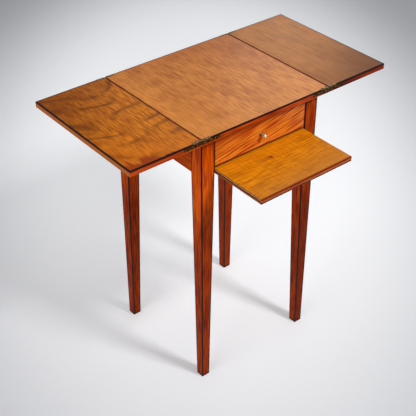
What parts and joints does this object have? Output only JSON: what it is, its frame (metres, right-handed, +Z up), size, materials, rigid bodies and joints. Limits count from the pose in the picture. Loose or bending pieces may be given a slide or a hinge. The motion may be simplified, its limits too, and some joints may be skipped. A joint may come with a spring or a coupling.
{
  "type": "lamp table",
  "caption": "Wooden lamp table on square tapered legs, with end leaves that fold over the top on link hinges, a drawer and a pull-out slide under it.",
  "frame": {"origin": "on the floor, midway between the four legs", "axes": "+X to the right along the open top, -Y to the front where drawer and slide pull out, +Z up"},
  "size_m": [0.7506, 0.503, 0.73],
  "materials": {
    "top_wood": "polished",
    "leaf_wood": "polished",
    "figured_wood": "polished",
    "slide_wood": "polished",
    "mahogany": "polished",
    "oak": "bare",
    "ebony": "polished",
    "brass": "aged",
    "steel": "dull"
  },
  "bodies": {
    "frame": {"top_board": "top_wood", "top_stringing_front": "ebony", "top_stringing_back": "ebony", "end_rail_left": "mahogany", "end_rail_right": "mahogany", "back_rail": "mahogany", "front_top_rail": "mahogany", "front_middle_rail": "oak", "top_fixing_screws": "steel", "guide_screws": "steel", "slide_runner_screws": "steel", "hinge_screws_top": "brass", "drawer_kicker_left": "oak", "drawer_runner_left": "oak", "drawer_guide_left": "oak", "slide_runner_left": "oak", "leg_front_left": "mahogany", "leg_stringing_front_left": "ebony", "hinge_plate_top_front_left": "brass", "leg_back_left": "mahogany", "leg_stringing_back_left": "ebony", "hinge_plate_top_back_left": "brass", "drawer_kicker_right": "oak", "drawer_runner_right": "oak", "drawer_guide_right": "oak", "slide_runner_right": "oak", "leg_front_right": "mahogany", "leg_stringing_front_right": "ebony", "hinge_plate_top_front_right": "brass", "leg_back_right": "mahogany", "leg_stringing_back_right": "ebony", "hinge_plate_top_back_right": "brass"},
    "left_links": {"hinge_link_front_left": "brass", "hinge_link_back_left": "brass", "hinge_pins_left": "brass"},
    "left_leaf": {"leaf_left": "leaf_wood", "leaf_stringing_left": "ebony", "hinge_plate_leaf_front_left": "brass", "hinge_plate_leaf_back_left": "brass", "hinge_screws_leaf_left": "brass"},
    "right_links": {"hinge_link_front_right": "brass", "hinge_link_back_right": "brass", "hinge_pins_right": "brass"},
    "right_leaf": {"leaf_right": "leaf_wood", "leaf_stringing_right": "ebony", "hinge_plate_leaf_front_right": "brass", "hinge_plate_leaf_back_right": "brass", "hinge_screws_leaf_right": "brass"},
    "drawer": {"drawer_front": "figured_wood", "drawer_side_left": "oak", "drawer_side_right": "oak", "drawer_back": "oak", "drawer_bottom": "oak", "drawer_bottom_nails": "steel", "drawer_knob": "brass", "drawer_knob_nut": "brass"},
    "slide": {"slide_board": "slide_wood", "slide_lipping": "slide_wood", "slide_stop_pegs": "oak"}
  },
  "joints": [
    {"name": "left_leaf_fold", "type": "hinge", "parent": "frame", "child": "left_links", "pos_m": [-0.185, 0, 0.727], "axis": [0, 1, 0], "range_deg": [0, 90]},
    {"name": "left_leaf_turn", "type": "hinge", "parent": "left_links", "child": "left_leaf", "pos_m": [-0.1913, 0, 0.727], "axis": [0, 1, 0], "range_deg": [0, 90]},
    {"name": "right_leaf_fold", "type": "hinge", "parent": "frame", "child": "right_links", "pos_m": [0.185, 0, 0.727], "axis": [0, -1, 0], "range_deg": [0, 90]},
    {"name": "right_leaf_turn", "type": "hinge", "parent": "right_links", "child": "right_leaf", "pos_m": [0.1913, 0, 0.727], "axis": [0, -1, 0], "range_deg": [0, 90]},
    {"name": "drawer_pull", "type": "slide", "parent": "frame", "child": "drawer", "axis": [0, -1, 0], "range_m": [0, 0.21]},
    {"name": "slide_pull", "type": "slide", "parent": "frame", "child": "slide", "axis": [0, -1, 0], "range_m": [-0.157, 0]}
  ],
  "couplings": [
    {"joint": "left_leaf_turn", "follows": "left_leaf_fold", "ratio": 1},
    {"joint": "right_leaf_turn", "follows": "right_leaf_fold", "ratio": 1}
  ]
}
